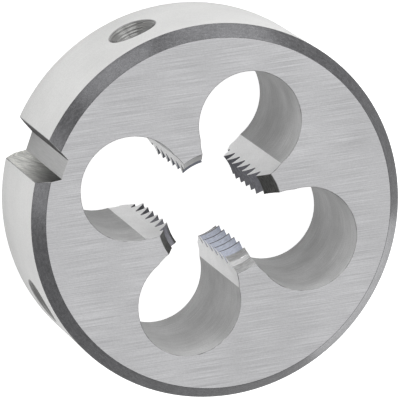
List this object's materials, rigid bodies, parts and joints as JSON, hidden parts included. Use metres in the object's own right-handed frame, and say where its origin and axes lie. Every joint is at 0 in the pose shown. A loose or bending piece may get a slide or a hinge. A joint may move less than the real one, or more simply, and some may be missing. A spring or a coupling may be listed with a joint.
{
  "type": "round threading die",
  "caption": "Round split-groove threading die of bare tool steel: a ground disc with a bevelled rim, clover-shaped chip holes and toothed lands that cut a coarse metric thread.",
  "frame": {"origin": "centre of the lower ground face, on the thread axis", "axes": "+Z along the thread axis, from the lower face to the upper marked face; -X towards the split groove in the rim"},
  "size_m": [0.0379, 0.038, 0.014],
  "materials": {
    "tool_steel": "ground"
  },
  "bodies": {
    "root": {"die_body": "tool_steel"}
  },
  "joints": []
}
